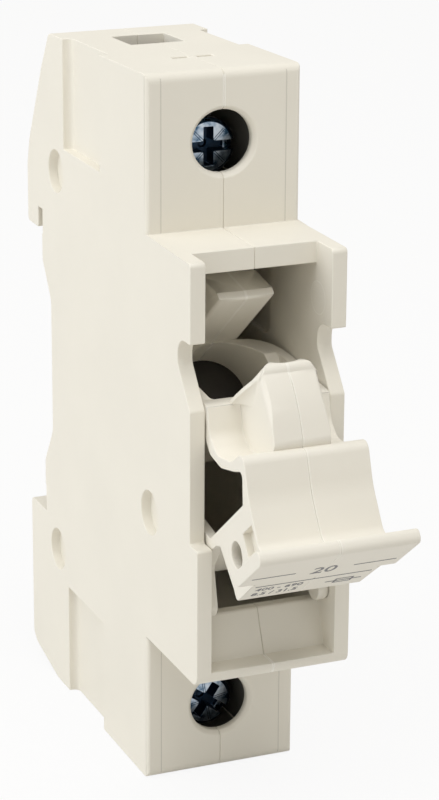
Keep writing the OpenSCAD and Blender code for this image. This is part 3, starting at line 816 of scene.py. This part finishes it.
def make_camera(look):
    """A camera that sees the object as the photograph does."""
    data = bpy.data.cameras.new("camera")
    camera = bpy.data.objects.new("camera", data)
    bpy.context.scene.collection.objects.link(camera)
    right, up, back = camera_axes(look)
    turn = Matrix((right, up, back)).transposed().to_4x4()
    spot = back * look.distance + right * look.aside + up * look.above
    camera.matrix_world = Matrix.Translation(spot) @ turn
    data.sensor_width = 36
    data.lens = look.focal_pixels * data.sensor_width / look.image_height
    data.shift_x = (look.image_width / 2 - look.centre_x) / look.image_height
    data.shift_y = (look.centre_y - look.image_height / 2) / look.image_height
    data.clip_start = 0.01
    bpy.context.scene.camera = camera


def soft_light(name, spot, aim, side, watts, colour=(1, 1, 1)):
    """A square light at a spot, turned towards an aim."""
    data = bpy.data.lights.new(name, "AREA")
    data.size = side
    data.energy = watts
    data.color = colour
    lamp = bpy.data.objects.new(name, data)
    lamp.location = spot
    lamp.rotation_euler = (Vector(aim) - Vector(spot)).to_track_quat("-Z", "Y").to_euler()
    bpy.context.scene.collection.objects.link(lamp)


def white_world(level):
    """Even light all round, and plain white where the camera sees it."""
    world = bpy.data.worlds.new("studio")
    world.use_nodes = True
    bpy.context.scene.world = world
    tree = world.node_tree
    light = next(n for n in tree.nodes if n.type == "BACKGROUND")
    light.inputs[0].default_value = WORLD_COLOUR
    light.inputs[1].default_value = level
    white = tree.nodes.new("ShaderNodeBackground")
    white.inputs[0].default_value = WHITE
    rays = tree.nodes.new("ShaderNodeLightPath")
    seen = tree.nodes.new("ShaderNodeMath")
    seen.operation = "MAXIMUM"
    tree.links.new(rays.outputs["Is Camera Ray"], seen.inputs[0])
    tree.links.new(rays.outputs["Is Transmission Ray"], seen.inputs[1])
    mix = tree.nodes.new("ShaderNodeMixShader")
    tree.links.new(seen.outputs[0], mix.inputs[0])
    tree.links.new(light.outputs[0], mix.inputs[1])
    tree.links.new(white.outputs[0], mix.inputs[2])
    out = next(n for n in tree.nodes if n.type == "OUTPUT_WORLD")
    tree.links.new(mix.outputs[0], out.inputs[0])


def white_floor(colour, height):
    """A floor that keeps a trace of the object's shadow and is otherwise almost plain white."""
    bpy.ops.object.select_all(action="DESELECT")
    bpy.ops.mesh.primitive_plane_add(size=FLOOR_SIDE, location=(0, 0, height))
    floor = bpy.context.active_object
    floor.name = "studio_floor"
    finish = Finish("studio_white", colour, 0.9)
    glow = finish.node("ShaderNodeEmission", {0: WHITE, 1: 1.0})
    rays = finish.tree.nodes.new("ShaderNodeLightPath")
    camera = Wire(finish, rays.outputs["Is Camera Ray"])
    mirror = Wire(finish, rays.outputs["Is Glossy Ray"])
    seen = camera.math("MAXIMUM", mirror) * FLOOR_GLOW
    matt = Wire(finish, finish.shader.outputs[0])
    mix = finish.node("ShaderNodeMixShader", {0: seen, 1: matt, 2: glow})
    out = next(n for n in finish.tree.nodes if n.type == "OUTPUT_MATERIAL")
    finish.tree.links.new(mix.socket, out.inputs[0])
    floor.data.materials.append(finish.material)


class DISCONNECTOR_OT_stage(bpy.types.Operator):
    """Set up the camera, the lights, the world and the floor"""

    bl_idname = "disconnector.stage"
    bl_label = "Studio stage"

    def execute(self, context):
        look = context.scene.disconnector_stage
        make_camera(look)
        middle = (CAD_LOW + CAD_HIGH) / 2
        soft_light("key_light", KEY_SPOT, middle, LAMP_SIDE, look.key_watts, KEY_COLOUR)
        soft_light("top_light", TOP_SPOT, middle, LAMP_SIDE, look.top_watts)
        white_world(look.world_level)
        white_floor(look.floor_colour, CAD_LOW.z)
        context.scene.view_settings.view_transform = "Standard"
        return {"FINISHED"}


class DISCONNECTOR_PT_panel(bpy.types.Panel):
    """Lists the steps that dress the disconnector"""

    bl_idname = "DISCONNECTOR_PT_panel"
    bl_label = "Fuse disconnector"
    bl_space_type = "VIEW_3D"
    bl_region_type = "UI"
    bl_category = "Disconnector"

    def draw(self, context):
        for step in STEPS:
            self.layout.operator(step.bl_idname, text=step.bl_label)


SETTINGS = {
    "disconnector_plastic": PlasticSettings,
    "disconnector_metal": MetalSettings,
    "disconnector_stage": StageSettings,
}
STEPS = (
    DISCONNECTOR_OT_housing,
    DISCONNECTOR_OT_carrier,
    DISCONNECTOR_OT_print,
    DISCONNECTOR_OT_contacts,
    DISCONNECTOR_OT_terminals,
    DISCONNECTOR_OT_latch,
    DISCONNECTOR_OT_stage,
)


def register():
    for name, group in SETTINGS.items():
        bpy.utils.register_class(group)
        setattr(bpy.types.Scene, name, bpy.props.PointerProperty(type=group))
    for step in (*STEPS, DISCONNECTOR_PT_panel):
        bpy.utils.register_class(step)


def unregister():
    for step in reversed((*STEPS, DISCONNECTOR_PT_panel)):
        bpy.utils.unregister_class(step)
    for name, group in SETTINGS.items():
        delattr(bpy.types.Scene, name)
        bpy.utils.unregister_class(group)


def main():
    register()
    for step in STEPS:
        group, action = step.bl_idname.split(".")
        getattr(getattr(bpy.ops, group), action)()


if __name__ == "__main__":
    main()
